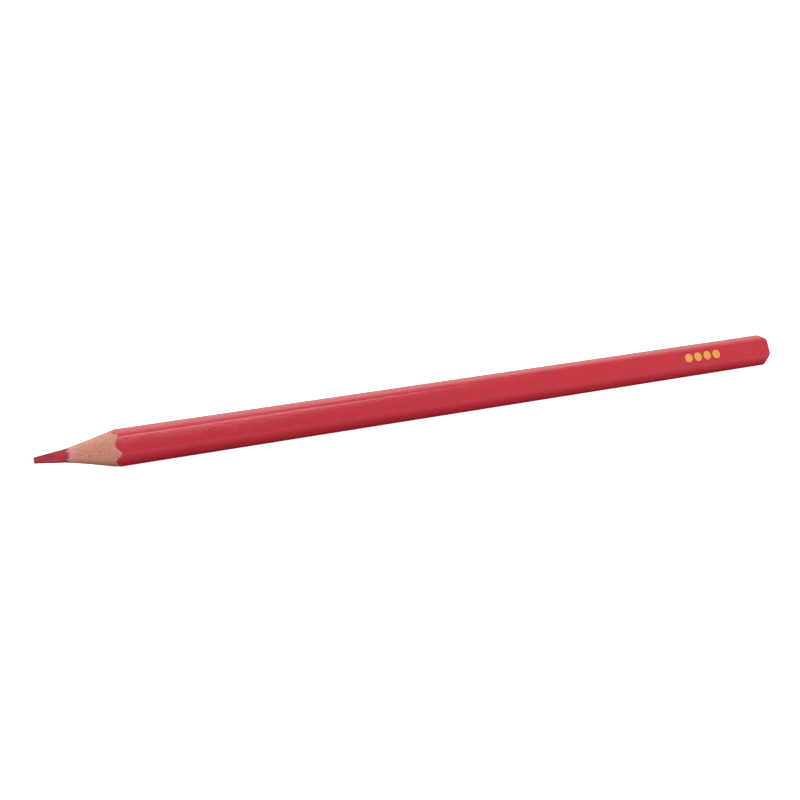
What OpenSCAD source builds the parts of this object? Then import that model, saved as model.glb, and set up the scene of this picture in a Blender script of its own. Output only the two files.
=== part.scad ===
// Six-sided coloured pencil, sharpened at one end and dipped at the other.
// It lies on one flat along X, with the point towards -X, and the origin is on the surface
// that it lies on, under the middle of its length.

/* [Barrel] */
// Length from the blunt tip to the dipped end
length = 175; // [140:1:190]
// Width across two opposite flats of the finished barrel
across_flats = 7; // [6.7:0.1:8]
// Radius of the six ridges of the finished barrel
ridge_r = 1.5; // [0.9:0.1:1.6]

/* [Core] */
// Diameter of the colour core
core_d = 2.8; // [2:0.1:3.6]

/* [Point] */
// Diameter of the blunt tip
tip_d = 1.16; // [0.7:0.02:1.6]
// Rounding of the rim of the tip
tip_round = 0.16; // [0.05:0.01:0.3]
// Length of bare core that stands out of the wood
core_exposed = 6; // [4:0.5:8]
// Length of the whole point, from the tip to where it meets the ridges
point_length = 16; // [13:0.5:24]
// Depth that the ground core is hollowed below a straight cone
core_hollow = 0.05; // [0:0.01:0.1]
// Depth that the ground wood is hollowed below a straight cone
wood_hollow = 0.11; // [0:0.01:0.2]

/* [Glue] */
// Thickness of the glue film between the slats and round the core
glue_t = 0.06; // [0.03:0.01:0.12]

/* [Coats] */
// Thickness of the pale undercoat on the wood
undercoat_t = 0.04; // [0.02:0.01:0.08]
// Thickness of the colour lacquer
lacquer_t = 0.07; // [0.04:0.01:0.12]
// Thickness of the clear varnish
varnish_t = 0.03; // [0.02:0.01:0.06]

/* [End dip] */
// Length of barrel that the dip runs along
dip_length = 2.6; // [1.5:0.1:6]
// Thickness of the dip on the barrel
dip_t = 0.06; // [0.03:0.01:0.12]
// Thickness of the dip on the cut end
dip_end_t = 0.5; // [0.2:0.1:1]
// Rounding of the rim of the dipped end
dip_round = 0.5; // [0.2:0.1:0.9]

/* [Foil stamp] */
// Distance from the dipped end to the middle of the stamped row of dots
stamp_from_end = 20; // [12:0.5:40]
// Number of dots in the row
dots = 4; // [1:1:9]
// Gap between neighbouring dots
dot_gap = 0.55; // [0.2:0.05:0.8]
// Bare edge between the dots and each side of their flat
dot_edge = 0.1; // [0.05:0.05:0.4]
// Thickness of the foil
foil_t = 0.02; // [0.01:0.01:0.04]

/* [Hidden] */

$fn = 96;
ridge_steps = 6;
rim_steps = 6;
arc_steps = 12;
// Room by which a cutting solid reaches past what it cuts
over = 1;
// Turn about the axis from the top flat to the stamped flat, which is also the middle of one slat
facing = 60;

core_r = core_d / 2;
groove_r = core_r + glue_t;
cut_end = length - dip_end_t;
dip_start = length - dip_length;

// Depth of each coat's inner face below the finished flats
lacquer_in = varnish_t;
undercoat_in = lacquer_in + lacquer_t;
wood_in = undercoat_in + undercoat_t;
dip_proud = dip_t - varnish_t;

axis_z = across_flats / 2 + max(dip_proud, 0);
// Distance from the axis to the top of a finished ridge
ridge_reach = (across_flats / 2 - ridge_r) / cos(30) + ridge_r;
// Width of a flat between the roundings of its two ridges
flat_width = 2 * (across_flats / 2 - ridge_r) * tan(30);
dot_d = flat_width - 2 * dot_edge;
// Part of the point's curve that a ground solid covers, a little past both of its ends
curve_from = -0.12;
curve_to = 1.15;

core_red = "#a8323e";
wood_tan = "#cf9c82";
glue_cream = "#e6dcc0";
undercoat_pink = "#ead0c8";
lacquer_red = "#c0353f";
foil_yellow = "#e8ae45";

// Puts a shape that is drawn along +Z from the tip into its place along +X
module along_pencil()
    translate([-length / 2, 0, axis_z]) rotate([0, 90, 0]) children();

// Outline of the barrel at a depth below its finished flats, with its ridges rounded to match
function hexagon(depth) =
    let (r = ridge_r - depth, centre = (across_flats / 2 - ridge_r) / cos(30))
    [for (k = [0 : 5], j = [0 : ridge_steps])
        let (turn = 60 * k + 60 * j / ridge_steps, corner = 60 * k + 30)
        centre * [cos(corner), sin(corner)] + r * [cos(turn), sin(turn)]];

// Six-sided bar from one distance behind the tip to another
module hex_bar(depth, from, to)
    translate([0, 0, from]) linear_extrude(to - from) polygon(hexagon(depth));

// Radius at the share t of a curve from one [radius, distance] to another, hollowed in its middle
function hollow_curve(start, end, hollow, t) =
    start + (end - start) * t - [4 * hollow * t * (1 - t), 0];

function core_curve(t) = hollow_curve([tip_d / 2, 0], [core_r, core_exposed], core_hollow, t);

function wood_curve(t) =
    hollow_curve([core_r, core_exposed], [ridge_reach, point_length], wood_hollow, t);

// Everything inside the ground surface of the wood and its coats
module ground_point() {
    step = (curve_to - curve_from) / arc_steps;
    curve = [for (i = [0 : arc_steps]) wood_curve(curve_from + i * step)];
    first = curve[0];
    last = curve[arc_steps];
    rotate_extrude()
        polygon(concat(
            [[0, first.y]], curve,
            [[last.x, length + over], [0, length + over]]
        ));
}

// One coat of the barrel, between two depths below the finished flats
module coat(outer, inner, to)
    along_pencil()
        intersection() {
            difference() {
                hex_bar(outer, 0, to);
                hex_bar(inner, -over, length + over);
            }
            ground_point();
        }

module colour_core() {
    rim = [for (i = [0 : rim_steps])
        let (a = 90 * i / rim_steps)
        [tip_d / 2 - tip_round * (1 - sin(a)), tip_round * (1 - cos(a))]];
    // The ground curve starts where the rounded rim ends
    rim_t = tip_round / core_exposed;
    curve = [for (i = [1 : arc_steps]) core_curve(rim_t + (1 - rim_t) * i / arc_steps)];
    color(core_red) along_pencil()
        rotate_extrude()
            polygon(concat([[0, 0]], rim, curve, [[core_r, cut_end], [0, cut_end]]));
}

module core_glue()
    color(glue_cream) along_pencil()
        intersection() {
            difference() {
                cylinder(r = groove_r, h = cut_end);
                translate([0, 0, -over]) cylinder(r = core_r, h = length + 2 * over);
            }
            ground_point();
        }

// The wooden blank with its bored middle, before it is split into slats and glue
module bored_blank()
    intersection() {
        difference() {
            hex_bar(wood_in, 0, cut_end);
            translate([0, 0, -over]) cylinder(r = groove_r, h = length + 2 * over);
        }
        ground_point();
    }

// Slab as wide as the barrel, between two distances from the axis towards the stamped flat
module slat_slab(from, to)
    rotate([0, 0, facing])
        translate([-to, -across_flats, -over])
            cube([to - from, 2 * across_flats, length + 2 * over]);

module seam_glue()
    color(glue_cream) along_pencil()
        intersection() {
            bored_blank();
            slat_slab(-glue_t / 2, glue_t / 2);
        }

module front_slat()
    color(wood_tan) along_pencil()
        intersection() {
            bored_blank();
            slat_slab(glue_t / 2, across_flats);
        }

module back_slat()
    color(wood_tan) along_pencil()
        intersection() {
            bored_blank();
            slat_slab(-across_flats, -glue_t / 2);
        }

module undercoat()
    color(undercoat_pink) coat(undercoat_in, wood_in, cut_end);

module colour_lacquer()
    color(lacquer_red) coat(lacquer_in, undercoat_in, cut_end);

module clear_varnish()
    color(lacquer_red, 0.3) coat(0, lacquer_in, dip_start);

module end_dip()
    color(lacquer_red) along_pencil()
        difference() {
            hull()
                for (i = [0 : rim_steps])
                    let (a = 90 * i / rim_steps)
                    hex_bar(
                        dip_round * (1 - cos(a)) - dip_proud,
                        dip_start,
                        length - dip_round * (1 - sin(a))
                    );
            hex_bar(lacquer_in, dip_start - over, cut_end);
        }

// Row of foil dots along the flat that faces the viewer
module foil_stamp()
    color(foil_yellow)
        translate([length / 2 - stamp_from_end, 0, axis_z])
            rotate([facing, 0, 0])
                for (i = [0 : dots - 1])
                    translate([(i - (dots - 1) / 2) * (dot_d + dot_gap), 0, across_flats / 2])
                        cylinder(d = dot_d, h = foil_t);

colour_core();
core_glue();
seam_glue();
front_slat();
back_slat();
undercoat();
colour_lacquer();
clear_varnish();
end_dip();
foil_stamp();
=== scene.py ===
"""Looks of a hexagonal coloured pencil that lies on one flat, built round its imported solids.

Each piece of the pencil is a class that works its surface out with numpy from the shared sizes,
makes the mesh and dresses it. Lengths are in millimetres until a mesh is made, in metres after it.
A place on the pencil is given by its distance from the tip along +X, and by (y, z) about the axis.
"""

import logging
import math
from dataclasses import dataclass, field
from enum import Enum
from functools import cache
from typing import Any, Sequence

import bpy
import numpy as np
from bpy.types import ID, Material, Node, NodeSocket, Object, ShaderNodeTree
from mathutils import Matrix, Vector

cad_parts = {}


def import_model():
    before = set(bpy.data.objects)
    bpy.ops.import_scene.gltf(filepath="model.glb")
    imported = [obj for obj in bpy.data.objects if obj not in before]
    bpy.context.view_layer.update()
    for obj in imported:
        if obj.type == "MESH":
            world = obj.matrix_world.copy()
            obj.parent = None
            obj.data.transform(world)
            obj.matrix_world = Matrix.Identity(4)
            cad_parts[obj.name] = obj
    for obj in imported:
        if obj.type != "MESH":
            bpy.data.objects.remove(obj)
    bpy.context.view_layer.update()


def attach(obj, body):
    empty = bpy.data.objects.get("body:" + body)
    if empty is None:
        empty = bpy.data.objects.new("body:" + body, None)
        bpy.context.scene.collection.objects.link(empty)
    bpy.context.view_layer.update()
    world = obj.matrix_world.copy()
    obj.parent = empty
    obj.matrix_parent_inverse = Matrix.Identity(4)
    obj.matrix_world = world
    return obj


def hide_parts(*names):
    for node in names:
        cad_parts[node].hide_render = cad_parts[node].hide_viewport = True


Array = np.ndarray
Pair = tuple[float, float]
Triple = tuple[float, float, float]
Tones = tuple[Triple, Triple]
Row = tuple[float, ...]
Value = Any

LOG = logging.getLogger("pencil")
MM = 0.001
BODY = "root"
BLACK: Triple = (0.0, 0.0, 0.0)
WHITE: Triple = (1.0, 1.0, 1.0)


@dataclass(frozen=True)
class Sizes:
    """Sizes of the pencil in millimetres, with the turn of a flat in degrees.

    They are those of its solids, but for flats that are a trace convex and flush with the dip, a fuller
    point with teeth of pigment on its wood, a blunter tip and a tighter rim at the end.
    """

    length: float = 175.0
    across_flats: float = 7.06
    ridge_radius: float = 1.53
    flat_bulge: float = 26.0
    bulge_turn: float = 2.85
    core_radius: float = 1.4
    tip_radius: float = 0.65
    tip_round: float = 0.16
    core_exposed: float = 6.0
    tooth_length: float = 0.95
    point_length: float = 16.0
    core_hollow: float = 0.02
    wood_hollow: float = 0.07
    glue: float = 0.06
    undercoat: float = 0.04
    lacquer: float = 0.07
    varnish: float = 0.03
    dip_length: float = 2.6
    dip_end: float = 0.5
    dip_round: float = 0.3
    stamp_from_end: float = 20.0
    dots: int = 4
    dot_gap: float = 0.55
    dot_edge: float = 0.1
    foil: float = 0.02

    @property
    def axis_height(self) -> float:
        """Height of the axis above the flat that the pencil lies on."""
        return self.across_flats / 2

    @property
    def groove_radius(self) -> float:
        """Radius of the groove that holds the core and its glue."""
        return self.core_radius + self.glue

    @property
    def cut_end(self) -> float:
        """Distance from the tip to the sawn end under the dip."""
        return self.length - self.dip_end

    @property
    def dip_start(self) -> float:
        """Distance from the tip to the rim of the dip."""
        return self.length - self.dip_length

    @property
    def wood_depth(self) -> float:
        """Depth of the wood below the finished flats."""
        return self.varnish + self.lacquer + self.undercoat

    @property
    def ridge_reach(self) -> float:
        """Distance from the axis to the top of a finished ridge."""
        return (self.across_flats / 2 - self.ridge_radius) / math.cos(math.radians(30)) + self.ridge_radius

    @property
    def dot_radius(self) -> float:
        """Radius of a stamped dot, which leaves a bare edge on both sides of its flat."""
        return (self.across_flats / 2 - self.ridge_radius) * math.tan(math.radians(30)) - self.dot_edge


def around_axis(angle: Array | float) -> Array:
    """(y, z) directions at angles about the axis, counted up from the viewer's side."""
    return np.stack([-np.cos(angle), np.sin(angle)], axis=-1)


class HexOutline:
    """Samples round the barrel: six slightly convex flats and six rounded ridges.

    A flat is an arc of a large radius about a centre beyond the axis, and a ridge is a small arc that
    takes its turn over where the flat's arc stops. A sample at depth d is its place less d * normal.
    """

    def __init__(self, sizes: Sizes, flat_steps: int, arc_steps: int) -> None:
        """Works the samples out.

        Args:
            sizes: the pencil's sizes.
            flat_steps: samples on each flat.
            arc_steps: samples on each ridge, an even number.
        """
        self.block = flat_steps + arc_steps
        half, bulge, stop = sizes.across_flats / 2, sizes.flat_bulge, math.radians(sizes.bulge_turn)
        inner = (bulge - half) / (math.cos(stop) - math.sqrt(3.0) * math.sin(stop))
        corner, radius = 2.0 * inner * math.sin(stop), bulge - inner
        facing = np.radians(30.0 + 60.0 * np.arange(6))[:, None]
        flat_turn = facing + stop * np.linspace(-1.0, 1.0, flat_steps, endpoint=False)
        arc_turn = facing + np.linspace(stop, np.radians(60.0) - stop, arc_steps, endpoint=False)
        flat = around_axis(flat_turn) * bulge - around_axis(facing) * (bulge - half)
        arc = around_axis(arc_turn) * radius + around_axis(facing + np.radians(30.0)) * corner
        self.place = np.concatenate([flat, arc], axis=1).reshape(-1, 2)
        self.normal = around_axis(np.concatenate([flat_turn, arc_turn], axis=1).reshape(-1))
        self.count = self.place.shape[0]

    def at(self, depth: float | Array) -> Array:
        """Samples at a depth below the finished surface, as (..., count, 2) of y and z."""
        return self.place - np.asarray(depth)[..., None] * self.normal

    def reach(self, depth: float) -> Array:
        """Distance from the axis of each sample at a depth."""
        return np.linalg.norm(self.at(depth), axis=-1)

    def angle(self) -> Array:
        """Angle of each sample about the axis, counted up from the viewer's side."""
        return np.arctan2(self.place[:, 1], -self.place[:, 0])


@dataclass(frozen=True)
class GroundPoint:
    """The hollow point that grinding leaves on the core, the wood and the coats.

    Each stretch is a straight cone less 4 * hollow * t * (1 - t), with t its share of the way.
    """

    sizes: Sizes

    def wood_radius(self, distance: Array) -> Array:
        """Radius of the ground wood at distances from the tip."""
        sizes = self.sizes
        t = (distance - sizes.core_exposed) / (sizes.point_length - sizes.core_exposed)
        rise = sizes.ridge_reach - sizes.core_radius
        return sizes.core_radius + rise * t - 4 * sizes.wood_hollow * t * (1 - t)

    def wood_distance(self, radius: Array | float) -> Array:
        """Distance from the tip at which the ground wood has a radius: the curve's inverse."""
        sizes = self.sizes
        bend = 4 * sizes.wood_hollow
        start = sizes.ridge_reach - sizes.core_radius - bend
        t = (-start + np.sqrt(start**2 + 4 * bend * (radius - sizes.core_radius))) / (2 * bend)
        return sizes.core_exposed + t * (sizes.point_length - sizes.core_exposed)

    def core_radius(self, distance: Array) -> Array:
        """Radius of the ground core at distances from the tip, and of its plain rod after that."""
        sizes = self.sizes
        t = np.clip(distance / sizes.core_exposed, 0.0, 1.0)
        rise = sizes.core_radius - sizes.tip_radius
        cone = sizes.tip_radius + rise * t - 4 * sizes.core_hollow * t * (1 - t)
        left = np.clip(1.0 - distance / sizes.tip_round, 0.0, 1.0)
        return cone - sizes.tip_round * (1.0 - np.sqrt(1.0 - left**2))


@dataclass(frozen=True)
class Wander:
    """Random waves that are the same at each run: a sum of cosines with random phases.

    The cosines run from the lowest to the highest number of waves a turn and weaken by the power fall.
    Twist is how fast their phases run along the pencil, in radians a millimetre, and the sum is divided
    by its peak, which is given in root mean squares.
    """

    seed: int
    lowest: int
    highest: int
    fall: float
    twist: float = 0.0
    peak: float = 2.2

    def waves(self, turn: Array, along: Array | float = 0.0) -> Array:
        """Wave height, about -1 to 1, over angles round the axis and distances along it.

        Args:
            turn: angles in radians.
            along: distances in millimetres, of a shape that meets turn's.

        Returns:
            Heights of the shape of turn and along together.
        """
        rng = np.random.default_rng(self.seed)
        number = np.arange(self.lowest, self.highest + 1)
        weight = rng.uniform(0.5, 1.0, number.size) / number**self.fall
        phase = rng.uniform(0.0, 2.0 * math.pi, number.size)
        drift = rng.normal(0.0, 1.0, number.size) * self.twist
        angle = np.asarray(turn)[..., None] * number + np.asarray(along)[..., None] * drift + phase
        return (weight * np.cos(angle)).sum(-1) / (self.peak * np.sqrt((weight**2).sum() / 2.0))


class Cap(Enum):
    """How the first and the last ring of a surface are closed."""

    LOOP = "joined to each other"
    POLE = "filled round a middle point"
    LADDER = "filled from side to side"


@dataclass
class RingSurface:
    """A closed surface of rings: point [i, j] is at step i along it and j round it.

    Rings run so that +X is along and the angle rises round, which turns the faces outwards.
    The surface is made once for each of the shifts along X. A middle point that fills an end stands off
    the mean of its ring by middle_lift, in (y, z).
    """

    sizes: Sizes
    distance: Array
    section: Array
    cap: Cap
    sharp_angle: float = 40.0
    shifts: Array = field(default_factory=lambda: np.zeros(1))
    middle_lift: Array = field(default_factory=lambda: np.zeros(2))

    def _faces(self) -> list[Array]:
        """Corner numbers of the faces, as whole arrays.

        Returns:
            The quads between the rings, and the faces that close the first and the last ring.
        """
        steps, around = self.section.shape[:2]
        spans = steps if self.cap is Cap.LOOP else steps - 1
        i, j = np.meshgrid(np.arange(spans), np.arange(around), indexing="ij")
        here, ahead, beside = i * around, (i + 1) % steps * around, (j + 1) % around
        faces = [np.stack([here + j, ahead + j, ahead + beside, here + beside], -1).reshape(-1, 4)]
        last, ring, rung = (steps - 1) * around, np.arange(around), np.arange(around // 2 - 1)
        if self.cap is Cap.POLE:
            side = np.stack([ring, (ring + 1) % around], -1)
            for first, middle, pair in ((0, last + around, side), (last, last + around + 1, side[:, ::-1])):
                faces.append(np.column_stack([np.full(around, middle), first + pair]))
        if self.cap is Cap.LADDER:
            ladder = np.stack([rung, rung + 1, around - 2 - rung, around - 1 - rung], -1)
            faces += [ladder, last + ladder[:, ::-1]]
        return faces

    def build(self, name: str) -> Object:
        """Makes the mesh object, smooth but for its sharp edges.

        Args:
            name: the object's name.

        Returns:
            The object, linked to the scene at the origin.
        """
        x = self.distance - self.sizes.length / 2
        y, z = self.section[..., 0], self.section[..., 1] + self.sizes.axis_height
        rings = np.stack(np.broadcast_arrays(x, y, z), axis=-1) * MM
        points = rings.reshape(-1, 3)
        if self.cap is Cap.POLE:
            lift = np.array([0.0, *self.middle_lift]) * MM
            points = np.concatenate([points, rings[[0, -1]].mean(1) + lift])
        copies = points + self.shifts[:, None, None] * np.array([MM, 0.0, 0.0])
        first = len(points) * np.arange(len(self.shifts))[:, None, None]
        faces = [(face + first).reshape(-1, face.shape[1]) for face in self._faces()]
        return mesh_object(name, copies.reshape(-1, 3), faces, self.sharp_angle)


def in_scene(name: str, data: ID) -> Object:
    """A new object in the scene, with its data."""
    made = bpy.data.objects.new(name, data)
    bpy.context.scene.collection.objects.link(made)
    return made


def mesh_object(name: str, points: Array, faces: Sequence[Array], sharp_angle: float = 40.0) -> Object:
    """Puts points and faces into a new mesh object.

    Args:
        name: the object's name.
        points: places in the row frame, in metres.
        faces: arrays of corner numbers, each of one face size.
        sharp_angle: edges that turn by more than this many degrees stay sharp.

    Returns:
        The object, linked to the scene.
    """
    mesh = bpy.data.meshes.new(name)
    corners = np.concatenate([f.ravel() for f in faces]).astype(np.int32)
    per_face = np.concatenate([np.full(len(f), f.shape[1]) for f in faces])
    mesh.vertices.add(len(points))
    mesh.vertices.foreach_set("co", points.astype(np.float32).ravel())
    mesh.loops.add(corners.size)
    mesh.loops.foreach_set("vertex_index", corners)
    mesh.polygons.add(len(per_face))
    mesh.polygons.foreach_set("loop_start", (np.cumsum(per_face) - per_face).astype(np.int32))
    mesh.update(calc_edges=True)
    mesh.validate()
    mesh.shade_smooth()
    mesh.set_sharp_from_angle(angle=math.radians(sharp_angle))
    return in_scene(name, mesh)


@dataclass
class NodeTree:
    """Short calls that add nodes to one shader node tree."""

    tree: ShaderNodeTree

    def add(self, kind: str, inputs: dict[str | int, Value], **settings: Value) -> Node:
        """Adds a node.

        Args:
            kind: the node's type name, without its ShaderNode prefix.
            inputs: what each input is set to or linked from.
            settings: the node's own properties.

        Returns:
            The node.
        """
        made = self.tree.nodes.new("ShaderNode" + kind)
        for key, value in settings.items():
            setattr(made, key, value)
        for key, value in inputs.items():
            self.feed(made.inputs[key], value)
        return made

    def feed(self, socket: NodeSocket, value: Value) -> None:
        """Links a socket to another one, or sets its plain value.

        Args:
            socket: the input to feed.
            value: an output socket, a number, a vector or a colour of three parts.
        """
        if isinstance(value, NodeSocket):
            self.tree.links.new(value, socket)
        elif isinstance(value, tuple) and socket.type == "RGBA":
            socket.default_value = (*value, 1.0)
        else:
            socket.default_value = value

    def group(self, tree: ShaderNodeTree, inputs: dict[str, Value]) -> Any:
        """The outputs of a shared group that is placed here with its own inputs."""
        return self.add("Group", inputs, node_tree=tree).outputs

    def math(self, operation: str, a: Value, b: Value = 0.0, clamp: bool = False) -> NodeSocket:
        """Result of one sum, product, power or the like of two values."""
        return self.add("Math", {0: a, 1: b}, operation=operation, use_clamp=clamp).outputs[0]

    def blend(self, *parts: tuple[Value, float]) -> NodeSocket:
        """Sum of values, each times its weight."""
        products = [self.math("MULTIPLY", value, weight) for value, weight in parts]
        total = products[0]
        for product in products[1:]:
            total = self.math("ADD", total, product)
        return total

    def spread(self, value: Value, low: float, high: float, to: Pair = (0.0, 1.0)) -> NodeSocket:
        """Value moved smoothly from one range to another and held at its ends."""
        inputs = {"Value": value, "From Min": low, "From Max": high, "To Min": to[0], "To Max": to[1]}
        return self.add("MapRange", inputs, interpolation_type="SMOOTHSTEP").outputs[0]

    def between(self, share: Value, a: Value, b: Value) -> NodeSocket:
        """Number between a and b."""
        return self.add("Mix", {0: share, 2: a, 3: b}).outputs[0]

    def mix(self, share: Value, a: Value, b: Value) -> NodeSocket:
        """Colour between a and b."""
        return self.add("Mix", {0: share, 6: a, 7: b}, data_type="RGBA").outputs[2]

    def cover(self, under: Value, over: Value, mask: Value, share: float) -> NodeSocket:
        """Colour under another one that a mask lays over it, up to a share."""
        return self.mix(self.math("MULTIPLY", mask, share), under, over)

    def place(self, scale: Triple = (1.0, 1.0, 1.0), offset: Triple = (0.0, 0.0, 0.0)) -> NodeSocket:
        """Object coordinates in millimetres, times a scale."""
        vector = self.add("TexCoord", {}).outputs["Object"]
        inputs = {"Vector": vector, "Scale": tuple(k / MM for k in scale), "Location": offset}
        return self.add("Mapping", inputs).outputs[0]

    def noise(self, vector: Value, detail: float, roughness: float) -> NodeSocket:
        """Noise of one cycle a unit at a vector."""
        inputs = {"Vector": vector, "Scale": 1.0, "Detail": detail, "Roughness": roughness}
        return self.add("TexNoise", inputs).outputs[0]


class Effects:
    """Shader node groups that several finishes share, each built once."""

    @staticmethod
    def start(name: str, inputs: list[str], outputs: list[str]) -> tuple[NodeTree, Any, Any]:
        """Makes an empty group with its sockets.

        Args:
            name: the group's name.
            inputs: names of the number inputs, which come after the input Vector.
            outputs: names of the number outputs.

        Returns:
            The group's node kit, what comes in and what goes out.
        """
        tree = bpy.data.node_groups.new(name, "ShaderNodeTree")
        tree.interface.new_socket(name="Vector", in_out="INPUT", socket_type="NodeSocketVector")
        for side, names in (("INPUT", inputs), ("OUTPUT", outputs)):
            for key in names:
                tree.interface.new_socket(name=key, in_out=side, socket_type="NodeSocketFloat")
        entry, leave = tree.nodes.new("NodeGroupInput"), tree.nodes.new("NodeGroupOutput")
        return NodeTree(tree), entry.outputs, leave.inputs

    @staticmethod
    @cache
    def streaks() -> ShaderNodeTree:
        """Lines along the pencil: a broad and a fine noise, both drawn out along X.

        Returns:
            The group, with the outputs Streak and Fine.
        """
        fineness = 3.1
        kit, entry, leave = Effects.start("lengthwise_streaks", ["Along", "Across"], ["Streak", "Fine"])
        parts = {0: entry["Along"], 1: entry["Across"], 2: entry["Across"]}
        scale = kit.add("CombineXYZ", parts).outputs[0]
        drawn = kit.add("VectorMath", {0: entry["Vector"], 1: scale}, operation="MULTIPLY").outputs[0]
        finer = kit.add("VectorMath", {0: drawn, "Scale": fineness}, operation="SCALE").outputs[0]
        kit.feed(leave["Streak"], kit.noise(drawn, detail=3.0, roughness=0.6))
        kit.feed(leave["Fine"], kit.noise(finer, detail=2.0, roughness=0.55))
        return kit.tree

    @staticmethod
    @cache
    def specks() -> ShaderNodeTree:
        """Scattered specks: cells whose random number is low enough, faded to their edges.

        Returns:
            The group, with the output Speck.
        """
        kit, entry, leave = Effects.start("scattered_specks", ["Share", "Radius"], ["Speck"])
        cell = kit.add("TexVoronoi", {"Vector": entry["Vector"], "Scale": 1.0}, feature="F1")
        chance = kit.add("SeparateColor", {0: cell.outputs["Color"]}).outputs[0]
        picked = kit.math("LESS_THAN", chance, entry["Share"])
        way = kit.math("DIVIDE", cell.outputs["Distance"], entry["Radius"])
        inside = kit.math("SUBTRACT", 1.0, way, clamp=True)
        kit.feed(leave["Speck"], kit.math("MULTIPLY", picked, kit.math("SQRT", inside)))
        return kit.tree

    @staticmethod
    @cache
    def teeth() -> ShaderNodeTree:
        """Pigment drawn out along the grain: a mask that ends at an uneven distance from the tip.

        Returns:
            The group, with the outputs Tooth, which is 1 where pigment covers, and Rub, a soft streak.
        """
        softness = 0.12
        inputs = ["Distance", "Edge", "Length"]
        kit, entry, leave = Effects.start("drawn_pigment", inputs, ["Tooth", "Rub"])
        lines = kit.group(Effects.streaks(), {"Vector": entry["Vector"], "Along": 0.12, "Across": 1.7})
        uneven = kit.spread(kit.blend((lines["Streak"], 0.65), (lines["Fine"], 0.35)), 0.36, 0.62)
        edge = kit.math("ADD", entry["Edge"], kit.math("MULTIPLY", uneven, entry["Length"]))
        past = kit.math("SUBTRACT", entry["Distance"], edge)
        kit.feed(leave["Tooth"], kit.spread(past, softness, -softness))
        kit.feed(leave["Rub"], kit.spread(lines["Fine"], 0.3, 0.7))
        return kit.tree


@dataclass(frozen=True)
class Noise:
    """Cloudy noise, of so many cycles a millimetre along each axis."""

    scale: Triple
    detail: float
    roughness: float

    def on(self, kit: NodeTree) -> NodeSocket:
        """The noise over an object."""
        return kit.noise(kit.place(self.scale), self.detail, self.roughness)


@dataclass(frozen=True)
class Streaks:
    """Lengthwise streaks, so many of them a millimetre along and across."""

    along: float
    across: float

    def on(self, kit: NodeTree) -> Any:
        """The streaks over an object, as the outputs Streak and Fine."""
        inputs = {"Vector": kit.place(), "Along": self.along, "Across": self.across}
        return kit.group(Effects.streaks(), inputs)


@dataclass(frozen=True)
class Specks:
    """Specks in cells, so many a millimetre along each axis: the share of cells with one, and its radius."""

    scale: Triple
    share: float
    radius: float
    offset: Triple = (0.0, 0.0, 0.0)

    def on(self, kit: NodeTree) -> NodeSocket:
        """The mask of the specks over an object."""
        inputs = {"Vector": kit.place(self.scale, self.offset), "Share": self.share, "Radius": self.radius}
        return kit.group(Effects.specks(), inputs)["Speck"]


class Paint(NodeTree):
    """The node kit of a new material, with the inputs of its one shader and the pencil's sizes."""

    def __init__(self, name: str, sizes: Sizes = Sizes()) -> None:
        """Makes the material.

        Args:
            name: the material's name.
            sizes: the pencil's sizes.
        """
        self.material = bpy.data.materials.new(name)
        self.material.use_nodes = True
        super().__init__(self.material.node_tree)
        self.shader = self.tree.nodes["Principled BSDF"].inputs
        self.sizes = sizes

    def give(self, socket: str, value: Value) -> None:
        """Feeds an input of the shader."""
        self.feed(self.shader[socket], value)

    def from_tip(self) -> NodeSocket:
        """Distance from the tip in millimetres."""
        x = self.add("SeparateXYZ", {0: self.place()}).outputs[0]
        return self.math("ADD", x, self.sizes.length / 2)

    def teeth(self) -> Any:
        """Outputs of the pigment that is drawn out from the core over what is ground behind it."""
        reach = {"Edge": self.sizes.core_exposed, "Length": self.sizes.tooth_length}
        return self.group(Effects.teeth(), {"Vector": self.place(), "Distance": self.from_tip(), **reach})

    def colour(self, value: Value) -> None:
        """Gives the surface its colour."""
        self.give("Base Color", value)

    def roughness(self, pattern: Value, to: Pair, low: float = 0.3, high: float = 0.7) -> None:
        """Spreads a pattern over a range of roughness."""
        self.give("Roughness", self.spread(pattern, low, high, to))

    def relief(self, *parts: tuple[Value, float], strength: float, depth: float) -> None:
        """Tilts the surface by a sum of weighted patterns, of a depth in millimetres."""
        inputs = {"Height": self.blend(*parts), "Strength": strength, "Distance": depth * MM}
        self.give("Normal", self.add("Bump", inputs).outputs[0])


@dataclass(frozen=True)
class Finish:
    """What all finishes share: a name, a slot name that is not used, and how strongly the surface reflects.
    """

    name: str
    slot: str
    specular: float = 0.5

    def material(self, sizes: Sizes) -> Material:
        """Makes the finish.

        Args:
            sizes: the pencil's sizes.

        Returns:
            The material.
        """
        on = Paint(self.name, sizes)
        on.give("Specular IOR Level", self.specular)
        self.paint(on)
        return on.material

    def paint(self, on: Paint) -> None:
        """Gives the material its colours, its gloss and its relief."""
        raise NotImplementedError


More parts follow.
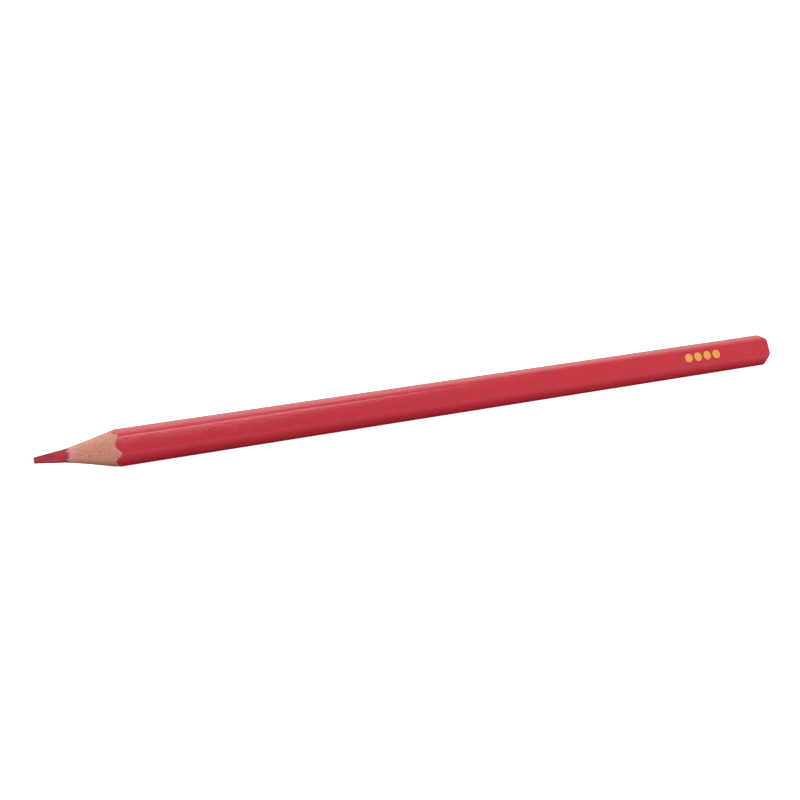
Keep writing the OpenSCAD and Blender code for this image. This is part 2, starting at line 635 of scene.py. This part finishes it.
@dataclass(frozen=True)
class LacquerFinish(Finish):
    """Red lacquer under clear varnish: glossy, drawn on lengthwise, with a little dust in it."""

    deep: Triple = (0.44, 0.014, 0.028)
    clear: Triple = (0.48, 0.016, 0.031)
    dust: Triple = (0.55, 0.08, 0.09)
    dust_share: float = 0.3
    point_dark: Triple = (0.02, 0.002, 0.002)
    point_dark_share: float = 0.12
    tint: Triple = (1.0, 0.62, 0.68)
    contrast: Pair = (0.3, 0.7)
    gloss: Pair = (0.09, 0.24)
    streaks: Streaks = Streaks(0.04, 1.4)
    cloud: Noise = Noise((0.22, 0.6, 0.6), 4.0, 0.6)
    uneven: Noise = Noise((0.5, 1.1, 1.1), 5.0, 0.65)
    peel: Noise = Noise((2.2, 3.6, 3.6), 2.0, 0.5)
    nibs: Specks = Specks((0.9, 0.9, 0.9), 0.04, 0.08)

    def paint(self, on: Paint) -> None:
        """Mottled red, deeper towards the point, with faint streaks, dust nibs and uneven gloss.

        Args:
            on: the material that is painted.
        """
        streaks, nibs = self.streaks.on(on), self.nibs.on(on)
        tone = on.blend((streaks["Streak"], 0.5), (self.cloud.on(on), 0.5))
        red = on.mix(on.spread(tone, *self.contrast), self.deep, self.clear)
        # Darker towards the point: the red goes a share of the way to near black at the tip, and not at all
        # at the end.
        towards_point = on.spread(on.from_tip(), 0.0, on.sizes.length, (self.point_dark_share, 0.0))
        red = on.mix(towards_point, red, self.point_dark)
        on.colour(on.cover(red, self.dust, nibs, self.dust_share))
        on.roughness(self.uneven.on(on), self.gloss, high=0.75)
        weighted = (streaks["Fine"], 0.2), (self.peel.on(on), 1.0), (nibs, 0.5)
        on.relief(*weighted, strength=0.8, depth=0.03)
        on.give("Specular Tint", self.tint)


@dataclass(frozen=True)
class MottledFinish(Finish):
    """A film in two tones. Its scale is in cycles a millimetre."""

    tones: Tones = (BLACK, WHITE)
    gloss: Pair = (0.3, 0.7)
    contrast: Pair = (0.3, 0.7)
    scale: float = 1.0
    detail: float = 4.0
    raggedness: float = 0.6

    def paint(self, on: Paint) -> None:
        """Tones and gloss that follow one cloudy noise.

        Args:
            on: the material that is painted.
        """
        cloud = Noise((self.scale,) * 3, self.detail, self.raggedness).on(on)
        on.colour(self.broken(on, on.mix(on.spread(cloud, *self.contrast), *self.tones)))
        on.roughness(cloud, self.gloss)

    def broken(self, on: Paint, colour: NodeSocket) -> NodeSocket:
        """The colour with what breaks it up, which is nothing unless a finish says so."""
        return colour


@dataclass(frozen=True)
class CutLacquerFinish(MottledFinish):
    """The dull cut edge of the colour lacquer, mottled where it is torn."""

    tones: Tones = ((0.3, 0.01, 0.018), (0.46, 0.018, 0.03))
    gloss: Pair = (0.45, 0.7)
    scale: float = 3.0
    contrast: Pair = (0.35, 0.65)


@dataclass(frozen=True)
class UndercoatFinish(MottledFinish):
    """Pale undercoat with stain from the lacquer over it, seen only where the point is ground through it."""

    tones: Tones = ((0.68, 0.4, 0.33), (0.55, 0.2, 0.17))
    gloss: Pair = (0.6, 0.8)
    scale: float = 1.5
    contrast: Pair = (0.35, 0.7)


@dataclass(frozen=True)
class FoilFinish(MottledFinish):
    """Yellow pressed foil with a soft sheen, and pinholes that show the red under it."""

    tones: Tones = ((0.63, 0.26, 0.046), (0.7, 0.345, 0.08))
    gloss: Pair = (0.3, 0.45)
    scale: float = 1.2
    hole: Triple = (0.42, 0.03, 0.03)
    hole_share: float = 0.8
    holes: Specks = Specks((5.0, 5.0, 5.0), 0.1, 0.35)

    def broken(self, on: Paint, colour: NodeSocket) -> NodeSocket:
        """The colour with its worn holes."""
        return on.cover(colour, self.hole, self.holes.on(on), self.hole_share)


@dataclass(frozen=True)
class WoodFinish(Finish):
    """Bare ground wood: fine pores along the grain, with pigment rubbed in near the core."""

    base: Triple = (0.39, 0.137, 0.088)
    pale: Triple = (0.515, 0.225, 0.156)
    pore: Triple = (0.27, 0.08, 0.045)
    pore_share: float = 0.6
    fleck: Triple = (0.68, 0.37, 0.25)
    fleck_share: float = 0.7
    waxed: Triple = (0.54, 0.205, 0.21)
    pigment: Triple = (0.23, 0.015, 0.035)
    pigment_share: float = 0.92
    smear_to: float = 9.4
    smear_uneven: float = 1.6
    contrast: Pair = (0.38, 0.62)
    gloss: Pair = (0.45, 0.62)
    streaks: Streaks = Streaks(0.5, 2.4)
    grain: Noise = Noise((3.2, 6.0, 6.0), 3.0, 0.7)
    pores: Specks = Specks((2.6, 5.2, 5.2), 0.4, 0.5)
    flecks: Specks = Specks((3.2, 5.4, 5.4), 0.25, 0.5, (3.1, 1.7, 5.2))

    def paint(self, on: Paint) -> None:
        """Tan with fine grain, pale and dark specks, and pigment drawn out from the core.

        Args:
            on: the material that is painted.
        """
        streaks, grain, pores = self.streaks.on(on), self.grain.on(on), self.pores.on(on)
        tone = on.blend((streaks["Streak"], 0.3), (grain, 0.7))
        tan = on.mix(on.spread(tone, *self.contrast), self.base, self.pale)
        grained = on.cover(tan, self.pore, pores, self.pore_share)
        grained = on.cover(grained, self.fleck, self.flecks.on(on), self.fleck_share)
        drawn = on.teeth()
        uneven = on.blend((on.from_tip(), 1.0), (drawn["Rub"], -self.smear_uneven))
        full = on.sizes.core_exposed + on.sizes.tooth_length
        near = on.spread(uneven, self.smear_to - self.smear_uneven, full - self.smear_uneven)
        rubbed = on.math("MULTIPLY", near, on.blend((drawn["Rub"], 0.5), (1.0, 0.5)))
        waxed = on.mix(rubbed, grained, self.waxed)
        on.colour(on.cover(waxed, self.pigment, drawn["Tooth"], self.pigment_share))
        on.roughness(streaks["Fine"], self.gloss)
        on.relief((grain, 1.0), (pores, -0.7), strength=0.4, depth=0.025)


@dataclass(frozen=True)
class PigmentFinish(Finish):
    """Waxy pigment: matt red with lengthwise streaks that grinding leaves."""

    dark: Triple = (0.19, 0.008, 0.014)
    dark_range: Pair = (0.5, 0.4)
    red: Triple = (0.345, 0.012, 0.022)
    bright: Triple = (0.43, 0.031, 0.057)
    bright_range: Pair = (0.5, 0.64)
    grain_range: Pair = (0.62, 0.8)
    grain_share: float = 0.4
    dull: Triple = (0.2, 0.012, 0.035)
    dull_from: float = 4.9
    dull_to: float = 6.2
    dull_share: float = 0.75
    gloss: Pair = (0.42, 0.62)
    streaks: Streaks = Streaks(0.12, 1.3)
    grain: Noise = Noise((5.0, 9.0, 9.0), 3.0, 0.6)

    def paint(self, on: Paint) -> None:
        """Red broken into darker and brighter streaks, with a grainy, slightly waxy surface.

        Args:
            on: the material that is painted.
        """
        streaks, grain = self.streaks.on(on), self.grain.on(on)
        red = on.mix(on.spread(streaks["Streak"], *self.dark_range), self.red, self.dark)
        red = on.mix(on.spread(streaks["Streak"], *self.bright_range), red, self.bright)
        grainy = on.spread(grain, *self.grain_range, (0.0, self.grain_share))
        red = on.mix(grainy, red, self.bright)
        dulled = on.spread(on.from_tip(), self.dull_from, self.dull_to, (0.0, self.dull_share))
        on.colour(on.mix(dulled, red, self.dull))
        on.roughness(grain, self.gloss)
        on.relief((grain, 0.4), (streaks["Fine"], 1.0), strength=0.5, depth=0.03)


@dataclass(frozen=True)
class GlueFinish(Finish):
    """Dried glue, cream inside the barrel and stained with pigment where the point is ground."""

    cream: Triple = (0.72, 0.62, 0.45)
    dull: Triple = (0.6, 0.5, 0.36)
    stain: Triple = (0.29, 0.018, 0.032)
    waxed: Triple = (0.5, 0.2, 0.18)
    stain_to: float = 8.0
    stain_fade: float = 0.8
    contrast: Pair = (0.35, 0.7)
    gloss: Pair = (0.45, 0.65)
    streaks: Streaks = Streaks(0.4, 2.2)

    def paint(self, on: Paint) -> None:
        """Cream that turns to dark red near the tip, with uneven streaks between.

        Args:
            on: the material that is painted.
        """
        streaks = self.streaks.on(on)
        tone = on.mix(on.spread(streaks["Streak"], *self.contrast), self.cream, self.dull)
        ground = on.mix(on.teeth()["Tooth"], self.waxed, self.stain)
        near = on.spread(on.from_tip(), self.stain_to, self.stain_to - self.stain_fade)
        on.colour(on.mix(near, tone, ground))
        on.roughness(streaks["Fine"], self.gloss)


@dataclass
class Piece:
    """One piece of the pencil: its sizes, its finish and the node that it stands for."""

    sizes: Sizes
    finish: Finish
    node: str

    def surface(self) -> RingSurface:
        """Works the piece's surface out."""
        raise NotImplementedError

    def make(self) -> None:
        """Builds the piece, dresses it and puts it in its node's place."""
        made = self.surface().build(self.node + "_dressed")
        made.data.materials.append(self.finish.material(self.sizes))
        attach(made, BODY)
        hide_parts(self.node)
        LOG.info("%s stands for %s with %d faces", made.name, self.node, len(made.data.polygons))


def full_turn(steps: int) -> Array:
    """Angles of equal steps once round, in radians."""
    return 2 * math.pi * np.arange(steps) / steps


@dataclass
class ColourCore(Piece):
    """The pigment rod: a blunt, slightly chipped and streaked point on a plain round bar."""

    around: int = 180
    face_rings: int = 5
    face_shares: Pair = (0.15, 0.9)
    rim_rings: int = 9
    cone_rings: int = 70
    rod_from: float = 0.6
    rod_middle: float = 20.0
    facet: float = 0.022
    facets: Wander = Wander(7, 3, 9, 0.4, 0.05)
    ground_past: float = 0.3
    ground_fade: float = 0.5
    streak: float = 0.01
    streaks: Wander = Wander(8, 14, 60, 0.4, 0.15)
    chip: float = 0.05
    chip_share: float = 0.06
    chip_at: float = 0.1
    chip_over: float = 0.25
    chips: Wander = Wander(11, 2, 16, 0.6)

    def surface(self) -> RingSurface:
        """Radius of the ground curve less facets and streaks along it, with a chipped rim at the tip.

        Facets and streaks fade out where the bare core ends. Chips weaken as a bell curve from the rim.

        Returns:
            Rings from the middle of the tip to the sawn end.
        """
        sizes = self.sizes
        face = np.linspace(*self.face_shares, self.face_rings) * (sizes.tip_radius - sizes.tip_round)
        rim = sizes.tip_round * (1 - np.cos(np.linspace(0, math.pi / 2, self.rim_rings)))
        cone = np.linspace(sizes.tip_round, sizes.core_exposed, self.cone_rings)[1:]
        rod = np.array([sizes.core_exposed + self.rod_from, self.rod_middle, sizes.cut_end])
        behind = np.concatenate([rim, cone, rod])
        radius = np.concatenate([face, GroundPoint(sizes).core_radius(behind)])[:, None]
        along = np.concatenate([np.zeros(self.face_rings), behind])[:, None]
        turn = full_turn(self.around)
        left = (sizes.core_exposed + self.ground_past - along) / self.ground_fade
        fade = np.clip(left, 0, 1) * np.minimum(1, radius)
        ground = np.clip(self.facets.waves(turn, along), -1, 1) * self.facet
        ground = ground + np.clip(self.streaks.waves(turn, along), -1, 1) * self.streak
        near_rim = np.exp(-(((along - self.chip_at) / self.chip_over) ** 2))
        chips = np.clip(self.chips.waves(turn), 0, 1) * near_rim
        radius = radius * (1 - self.chip_share * chips) - ground * fade
        distance = along + self.chip * chips * np.minimum(1, radius / sizes.tip_radius) ** 2
        return RingSurface(sizes, distance, radius[..., None] * around_axis(turn), Cap.POLE)


@dataclass
class CoreGlue(Piece):
    """The glue sleeve round the core, ground off at a slant where the wood begins."""

    around: int = 180

    def surface(self) -> RingSurface:
        """Two round walls, the outer one shorter by what the slanted grinding takes off.

        Returns:
            Rings out along the outer wall and back along the inner one.
        """
        sizes = self.sizes
        radius = np.array([sizes.groove_radius, sizes.groove_radius, sizes.core_radius, sizes.core_radius])
        front = GroundPoint(sizes).wood_distance(radius[[0, 3]])
        along = np.array([front[0], sizes.cut_end, sizes.cut_end, front[1]])
        section = radius[:, None, None] * around_axis(full_turn(self.around))
        return RingSurface(sizes, along[:, None], section, Cap.LOOP)


class Side(Enum):
    """The two slats, by the angle in degrees that each one faces."""

    FRONT = 30.0
    BACK = 210.0


@dataclass
class Slat(Piece):
    """One of the two grooved slats, with a frayed lip round the core and a ground surface."""

    side: Side = Side.FRONT
    flat_steps: int = 26
    arc_steps: int = 16
    cone_steps: int = 72
    rings_past: Row = (0.05, 0.1, 0.2, 0.4, 0.8, 1.5, 40.0)
    ground_past: float = 1.0
    fray: float = 0.1
    fray_most: float = 1.2
    fray_power: float = 1.3
    fray_from_seam: float = 5.0
    frays: Wander = Wander(23, 4, 22, 0.3)
    fuzz: float = 0.012
    fibres: Wander = Wander(31, 20, 120, 0.3, 0.8)
    crease: float = 0.05

    def surface(self) -> RingSurface:
        """Half of the barrel outside the groove, ground to the point and parted at two ridges.

        The radius is the smaller of the ground curve and the barrel's outline under the coats, eased
        where the two meet. Fibres run along the ground part, and its front edge is torn back unevenly.

        Returns:
            Rings of an outer and an inner half, from the torn lip to the sawn end.
        """
        sizes, point = self.sizes, GroundPoint(self.sizes)
        outline = HexOutline(sizes, self.flat_steps, self.arc_steps)
        facing = math.radians(self.side.value)
        # The half starts in the middle of the ridge a quarter turn before the way that it faces
        first = round((self.side.value - 90.0) / 60.0 * outline.block) - self.arc_steps // 2
        pick = (first + np.arange(outline.count // 2 + 1)) % outline.count
        hexagon, turn = outline.at(sizes.wood_depth)[pick], outline.angle()[pick]
        reach = np.linalg.norm(hexagon, axis=1)
        unit = hexagon / reach[:, None]
        to_seam = np.clip(np.abs(np.cos(turn - facing)) * self.fray_from_seam, 0, 1)
        frays = np.minimum(np.abs(self.frays.waves(turn)) ** self.fray_power, self.fray_most)
        tear = frays * self.fray * to_seam
        lip, cut = point.wood_distance(sizes.groove_radius) + tear, point.wood_distance(reach)
        share = np.linspace(0, 1, self.cone_steps)[:, None]
        past = np.array(self.rings_past)[:, None]
        end = np.full((1, len(cut)), sizes.cut_end)
        distance = np.concatenate([lip + (cut - lip) * share, cut + past, end])
        swell = np.sqrt(np.sin(math.pi * np.clip((distance - lip) / (cut - lip), 0, 1)))
        fibres = self.fibres.waves(turn, distance)
        ground = point.wood_radius(np.minimum(distance, sizes.point_length + self.ground_past))
        ground = ground + fibres * self.fuzz * swell
        radius = (ground + reach - np.sqrt((ground - reach) ** 2 + self.crease**2)) / 2
        outer = radius[..., None] * unit
        inner = np.broadcast_to(sizes.groove_radius * unit, outer.shape)
        section = np.concatenate([outer, inner[:, ::-1]], axis=1)
        apart = around_axis(facing)
        section = section + np.maximum(0, sizes.glue / 2 - section @ apart)[..., None] * apart
        both = np.concatenate([distance, distance[:, ::-1]], axis=1)
        return RingSurface(sizes, both, section, Cap.LADDER)


@dataclass(frozen=True)
class TornEdge:
    """How far sharpening tore the coats back from where the ground point meets the barrel."""

    sizes: Sizes
    least: float = 0.03
    lobe: float = 0.12
    tilt: float = 0.32
    ragged: float = 0.06
    tears: Wander = Wander(41, 4, 40, 0.6)
    pale: float = 0.11
    pale_mean: float = 0.6
    pale_range: Pair = (0.1, 1.4)
    pale_waves: Wander = Wander(47, 5, 50, 0.5)

    def lacquer(self, outline: HexOutline) -> Array:
        """Edge of the lacquer: the cut through the outline, and how far it is torn back from there.

        That is a least part, a lobe on each flat, a tilt to the viewer's side and ragged waves.

        Args:
            outline: the samples round the barrel.

        Returns:
            Distance of the edge from the tip at each sample.
        """
        turn = outline.angle()
        lobes = 0.5 - 0.5 * np.cos(6 * turn)
        back = self.least + self.lobe * lobes + self.tilt * np.cos(turn)
        back = back + self.ragged * self.tears.waves(turn)
        return GroundPoint(self.sizes).wood_distance(outline.reach(0.0)) + np.clip(back, 0, None)

    def undercoat(self, outline: HexOutline) -> Array:
        """Edge of the undercoat, which shows as a thin, uneven pale line before the lacquer."""
        waves = self.pale_mean * (1 + self.pale_waves.waves(outline.angle()))
        return self.lacquer(outline) - self.pale * np.clip(waves, *self.pale_range)


class Layer(Enum):
    """The coats of the barrel from the wood outwards."""

    UNDERCOAT = "undercoat"
    LACQUER = "colour_lacquer"
    VARNISH = "clear_varnish"


@dataclass
class Coat(Piece):
    """One thin coat of the barrel, with the scalloped front edge that grinding leaves."""

    layer: Layer = Layer.VARNISH
    flow: float = 0.006
    flows: Wander = Wander(53, 2, 12, 0.8, 0.05)
    worn: float = 0.02
    worn_over: float = 0.1
    flat_steps: int = 30
    arc_steps: int = 18
    edge_shares: Row = (0.0, 0.0004, 0.001, 0.003)
    barrel_from: float = 0.01
    barrel_steps: int = 90
    sharp_angle: float = 55.0

    def _span(self, outline: HexOutline) -> tuple[float, float, Array, float]:
        """Depth of the outer and the inner face, and where the coat starts and ends."""
        sizes, torn = self.sizes, TornEdge(self.sizes)
        under = sizes.varnish + sizes.lacquer
        return {
            Layer.UNDERCOAT: (under, sizes.wood_depth, torn.undercoat(outline), sizes.cut_end),
            Layer.LACQUER: (sizes.varnish, under, torn.lacquer(outline), sizes.cut_end),
            Layer.VARNISH: (0.0, sizes.varnish, torn.lacquer(outline) + sizes.varnish / 2, sizes.dip_start),
        }[self.layer]

    def surface(self) -> RingSurface:
        """The barrel's outline at two depths, from a torn front edge to the butt end.

        The edge lies behind the distance where the point's radius equals the outline's, so it makes
        round lobes on the flats and cusps on the ridges. Its face slants forward with depth. The
        outermost coat is worn round at the edge and flows in slight waves.

        Returns:
            Rings out along the outer face and back along the inner one.
        """
        sizes, point = self.sizes, GroundPoint(self.sizes)
        outline = HexOutline(sizes, self.flat_steps, self.arc_steps)
        top, base, edge, end = self._span(outline)
        start_top = np.maximum(edge, point.wood_distance(outline.reach(top)))
        start_base = np.maximum(edge - (base - top) / 2, point.wood_distance(outline.reach(base)))
        barrel = np.linspace(self.barrel_from, 1, self.barrel_steps)
        share = np.concatenate([self.edge_shares, barrel])[:, None]
        out = start_top + (end - start_top) * share
        back = start_base + (end - start_base) * share[::-1]
        depth = np.full(out.shape, top)
        if self.layer is Layer.VARNISH:
            flows = self.flows.waves(outline.angle(), out)
            depth = depth + self.flow * np.clip(0.5 + 0.5 * flows, 0, 1)
            depth = depth + self.worn * np.exp(-(out - start_top) / self.worn_over)
        section = np.concatenate([outline.at(depth), outline.at(np.full(back.shape, base))])
        distance = np.concatenate([out, back])
        return RingSurface(sizes, distance, section, Cap.LOOP, self.sharp_angle)


@dataclass
class EndDip(Piece):
    """The lacquer cup that closes the butt end, with a rounded rim and a faint crown."""

    flat_steps: int = 24
    arc_steps: int = 18
    rim_steps: int = 14
    face_steps: int = 12
    face_shares: Pair = (0.94, 0.08)
    floor_share: float = 0.5
    skirt_edge: float = 0.08
    crown: float = 0.02
    sharp_angle: float = 50.0

    def surface(self) -> RingSurface:
        """The barrel's outline carried along a profile: pocket floor, skirt, rounded rim and end.

        The rim's inset follows a quarter of a circle, and the end rises as the square of the way in.

        Returns:
            Rings from the middle of the pocket's floor to the middle of the end.
        """
        sizes = self.sizes
        outline = HexOutline(sizes, self.flat_steps, self.arc_steps)
        quarter = np.radians(np.linspace(0, 90, self.rim_steps))
        rim_depth = sizes.dip_round * (1 - np.cos(quarter))
        rim_distance = sizes.length - self.crown - sizes.dip_round * (1 - np.sin(quarter))
        face = np.linspace(*self.face_shares, self.face_steps)
        skirt = sizes.dip_start
        pocket = [sizes.cut_end, sizes.cut_end, skirt, skirt, skirt + self.skirt_edge]
        distance = np.concatenate([pocket, rim_distance, sizes.length - self.crown * face**2])
        pocket_depth = [sizes.varnish, sizes.varnish, sizes.varnish, 0.0, 0.0]
        depth = np.concatenate([pocket_depth, rim_depth, np.full(self.face_steps, rim_depth[-1])])
        inward = np.concatenate([[self.floor_share], np.ones(len(pocket) - 1 + self.rim_steps), face])
        section = inward[:, None, None] * outline.at(depth[:, None])
        return RingSurface(sizes, distance[:, None], section, Cap.POLE, self.sharp_angle)


@dataclass
class FoilStamp(Piece):
    """A row of pressed foil dots on the flat that faces the viewer."""

    around: int = 72
    shares: Row = (0.5, 1.0, 1.0, 0.985, 0.95, 0.5)
    rises: Row = (0.0, 0.0, 0.5, 0.85, 1.0, 1.0)
    sharp_angle: float = 60.0

    def surface(self) -> RingSurface:
        """Thin discs with rounded edges, laid on the arc of their flat.

        Each ring is a share of the dot's radius at a rise of the foil's thickness, less the drop of the
        arc, which is the square of the way across over twice its radius. One disc serves for all dots,
        and its middle points are lifted back onto the arc.

        Returns:
            Rings of one disc from its base to its top, shifted along the pencil for each dot.
        """
        sizes = self.sizes
        turn = -full_turn(self.around)
        radius = np.array(self.shares)[:, None] * sizes.dot_radius
        across = radius * np.sin(turn)
        drop = across**2 / (2 * sizes.flat_bulge)
        height = sizes.across_flats / 2 + np.array(self.rises)[:, None] * sizes.foil - drop
        faced = math.radians(Side.FRONT.value)
        facing, up = around_axis(faced), around_axis(faced + math.pi / 2)
        section = height[..., None] * facing + across[..., None] * up
        distance = sizes.length - sizes.stamp_from_end + radius * np.cos(turn)
        shifts = (np.arange(sizes.dots) - (sizes.dots - 1) / 2) * (2 * sizes.dot_radius + sizes.dot_gap)
        middle_lift = drop[0].mean() * facing
        return RingSurface(sizes, distance, section, Cap.POLE, self.sharp_angle, shifts, middle_lift)


@dataclass
class SeamGlue(Piece):
    """The two glue strips between the slats, which keep the shape of their solids."""

    def make(self) -> None:
        """Dresses the node itself."""
        made = bpy.data.objects[self.node]
        made.data.materials.clear()
        made.data.materials.append(self.finish.material(self.sizes))
        LOG.info("%s keeps its solid", made.name)


@dataclass(frozen=True)
class FarLight:
    """A broad soft light far overhead: an evenly lit disc in the sky, as wide as its angle in degrees."""

    name: str = "overhead_disc"
    towards: Triple = (0.19, -0.5, 0.85)
    angle: float = 28.0
    strength: float = 0.88

    def make(self) -> None:
        """Adds the light, whose strength is what falls on a surface that faces it."""
        light = bpy.data.lights.new(self.name, "SUN")
        light.energy, light.angle = self.strength, math.radians(self.angle)
        turned = Vector(self.towards).to_track_quat("Z", "Y").to_matrix()
        in_scene(self.name, light).matrix_world = turned.to_4x4()


@dataclass(frozen=True)
class SkyBand:
    """A band of the sky: where it stops along Y, and how bright it is on the tip's and the end's side."""

    until: float
    tip_side: float
    end_side: float


@dataclass(frozen=True)
class Sky:
    """Light from all round, in bands from low in front, over the top, to low behind.

    The bands step softly from one to the next by the direction's part along Y. By its part along X they
    pass from the tip's side to the end's. Beyond the tip they are brighter, but calm straight ahead of it.
    """

    low_front: SkyBand = SkyBand(-0.45, 0.6, 0.8)
    dark_gap: SkyBand = SkyBand(-0.15, 0.0, 0.5)
    overhead: SkyBand = SkyBand(0.08, 1.2, 0.6)
    bright_strip: SkyBand = SkyBand(0.3, 2.0, 1.4)
    high_back: SkyBand = SkyBand(0.75, 1.3, 0.6)
    low_back: SkyBand = SkyBand(1.0, 1.0, 0.9)
    band_soft: float = 0.08
    end_from: float = 0.35
    tip_glow: float = 1.8
    tip_glow_until: float = -0.1
    calm: float = 0.35
    calm_until: float = -0.85
    zone_soft: float = 0.15
    seen: float = 1.05

    def banded(self, kit: NodeTree, along: Value, stops: Sequence[float], levels: Sequence[float]) -> Value:
        """Brightness of one side, a sum of soft steps from each band to the next.

        Args:
            kit: tree that the steps are added to.
            along: part of the direction that the bands go by.
            stops: where each band stops.
            levels: brightness of each band.

        Returns:
            The brightness in every direction.
        """
        steps = [
            kit.spread(along, stop - self.band_soft, stop + self.band_soft, (0.0, after - before))
            for stop, before, after in zip(stops, levels, levels[1:])
        ]
        return kit.blend((levels[0], 1.0), *((step, 1.0) for step in steps))

    def make(self) -> None:
        """Adds the surrounding light, which is plain white to the camera."""
        world = bpy.data.worlds.new("studio_sky")
        world.use_nodes = True
        kit = NodeTree(world.node_tree)
        part = kit.add("SeparateXYZ", {0: kit.add("TexCoord", {}).outputs["Generated"]}).outputs
        front = (self.low_front, self.dark_gap, self.overhead)
        bands = (*front, self.bright_strip, self.high_back, self.low_back)
        stops = [band.until for band in bands]
        tip_side = self.banded(kit, part[1], stops, [band.tip_side for band in bands])
        end_side = self.banded(kit, part[1], stops, [band.end_side for band in bands])
        calm, glow, end = (
            kit.spread(part[0], at - self.zone_soft, at + self.zone_soft)
            for at in (self.calm_until, self.tip_glow_until, self.end_from)
        )
        lift = kit.blend((1.0, self.tip_glow), (glow, 1.0 - self.tip_glow))
        level = kit.between(calm, self.calm, kit.math("MULTIPLY", tip_side, lift))
        level = kit.between(end, level, end_side)
        camera = kit.add("LightPath", {}).outputs["Is Camera Ray"]
        shader = world.node_tree.nodes["Background"].inputs
        kit.feed(shader["Color"], WHITE)
        kit.feed(shader["Strength"], kit.between(camera, level, self.seen))
        bpy.context.scene.world = world


@dataclass
class Studio:
    """A pale floor under soft lights.

    Beside the pencil the floor is painted darker for light that bounces off it, a painted shadow, and
    reflections see the whole floor painted darker.
    It is filled towards white for the camera, and glows a little on what stands over it, a painted glow that
    lights the pencil from below.
    """

    floor_colour: Triple = (0.9, 0.9, 0.9)
    floor_shaded: float = 0.2
    shade_from: float = 2.2
    shade_to: float = 5.0
    floor_mirrored: float = 0.67
    floor_fill: float = 0.85
    floor_glow: float = 0.17
    floor_roughness: float = 0.9
    floor_specular: float = 0.1
    floor_reach: float = 60.0
    lights: list[FarLight | Sky] = field(default_factory=lambda: [Sky(), FarLight()])

    def make(self) -> None:
        """Adds the floor and the lights."""
        corners = np.array([[-1, -1, 0], [1, -1, 0], [1, 1, 0], [-1, 1, 0]]) * self.floor_reach
        floor = mesh_object("floor", corners, [np.array([[0, 1, 2, 3]])])
        floor.data.materials.append(self.floor_material())
        for light in self.lights:
            light.make()
        bpy.context.scene.view_settings.view_transform = "Standard"
        LOG.info("studio has %d lights", len(self.lights))

    def floor_material(self) -> Material:
        """A matt floor that goes by what sees it.

        Returns:
            The material.
        """
        kit = Paint("pale_floor")
        path = kit.add("LightPath", {}).outputs
        aside = kit.math("ABSOLUTE", kit.add("SeparateXYZ", {0: kit.place()}).outputs[1])
        # Painted shadow: beside the pencil the floor is darker for all but camera rays.
        clear = kit.spread(aside, self.shade_from, self.shade_to, (self.floor_shaded, 1.0))
        clear = kit.math("MAXIMUM", clear, path["Is Camera Ray"])
        # Painted reflection: glossy rays see the whole floor darker.
        dimmed = kit.blend((1.0, 1.0), (path["Is Glossy Ray"], self.floor_mirrored - 1.0))
        kit.colour(kit.mix(kit.math("MULTIPLY", clear, dimmed), BLACK, self.floor_colour))
        # Painted glow: the floor lights what stands over it, and shows white to the camera.
        lifted = kit.blend((path["Is Camera Ray"], 1.0), (path["Is Diffuse Ray"], self.floor_glow))
        kit.give("Emission Color", kit.mix(lifted, BLACK, WHITE))
        kit.give("Emission Strength", self.floor_fill)
        kit.give("Roughness", self.floor_roughness)
        kit.give("Specular IOR Level", self.floor_specular)
        return kit.material


@dataclass(frozen=True)
class PhotoCamera:
    """The camera at the photograph's viewing angle, in millimetres and degrees."""

    place: Triple = (-103.5, -218.2, 84.3)
    yaw: float = 23.1
    pitch: float = 18.57
    roll: float = -0.85
    lens: float = 51.75
    sensor: float = 36.0
    sees_from: float = 10.0
    sees_to: float = 200000.0

    def make(self) -> None:
        """Adds the camera, turned by its yaw about Z, then down by its pitch, then by its roll."""
        turns = ((-self.yaw, "Z"), (90.0 - self.pitch, "X"), (self.roll, "Z"))
        yaw, pitch, roll = (Matrix.Rotation(math.radians(turn), 4, axis) for turn, axis in turns)
        data = bpy.data.cameras.new("photo_camera")
        data.lens, data.sensor_width = self.lens, self.sensor
        data.clip_start, data.clip_end = self.sees_from * MM, self.sees_to * MM
        made = in_scene("photo_camera", data)
        made.matrix_world = Matrix.Translation(Vector(self.place) * MM) @ yaw @ pitch @ roll
        bpy.context.scene.camera = made


def pencil_pieces(sizes: Sizes) -> list[Piece]:
    """The pencil's pieces in the order in which it is made.

    Args:
        sizes: the pencil's sizes.

    Returns:
        One entry for each node.
    """
    wood = WoodFinish("bare_wood", "casing_wood")
    glue = GlueFinish("dried_glue", "glue", 0.4)
    undercoat = UndercoatFinish("pale_undercoat", "undercoat", 0.3)
    cut = CutLacquerFinish("cut_lacquer", "red_lacquer", 0.3)
    varnished = LacquerFinish("varnished_red", "clear_varnish", 0.65)
    dipped = LacquerFinish("dipped_red", "red_lacquer", 0.65)
    return [
        ColourCore(sizes, PigmentFinish("waxy_pigment", "pigment_core", 0.3), "colour_core"),
        CoreGlue(sizes, glue, "core_glue"),
        SeamGlue(sizes, glue, "seam_glue"),
        Slat(sizes, wood, "front_slat", Side.FRONT),
        Slat(sizes, wood, "back_slat", Side.BACK),
        Coat(sizes, undercoat, "undercoat", Layer.UNDERCOAT),
        Coat(sizes, cut, "colour_lacquer", Layer.LACQUER),
        Coat(sizes, varnished, "clear_varnish", Layer.VARNISH),
        EndDip(sizes, dipped, "end_dip"),
        FoilStamp(sizes, FoilFinish("yellow_foil", "foil"), "foil_stamp"),
    ]


def main() -> None:
    """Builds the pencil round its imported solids, then the studio and the camera."""
    logging.basicConfig(level=logging.INFO, format="%(name)s: %(message)s")
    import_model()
    for piece in pencil_pieces(Sizes()):
        piece.make()
    Studio().make()
    PhotoCamera().make()
    bpy.context.view_layer.update()


if __name__ == "__main__":
    main()
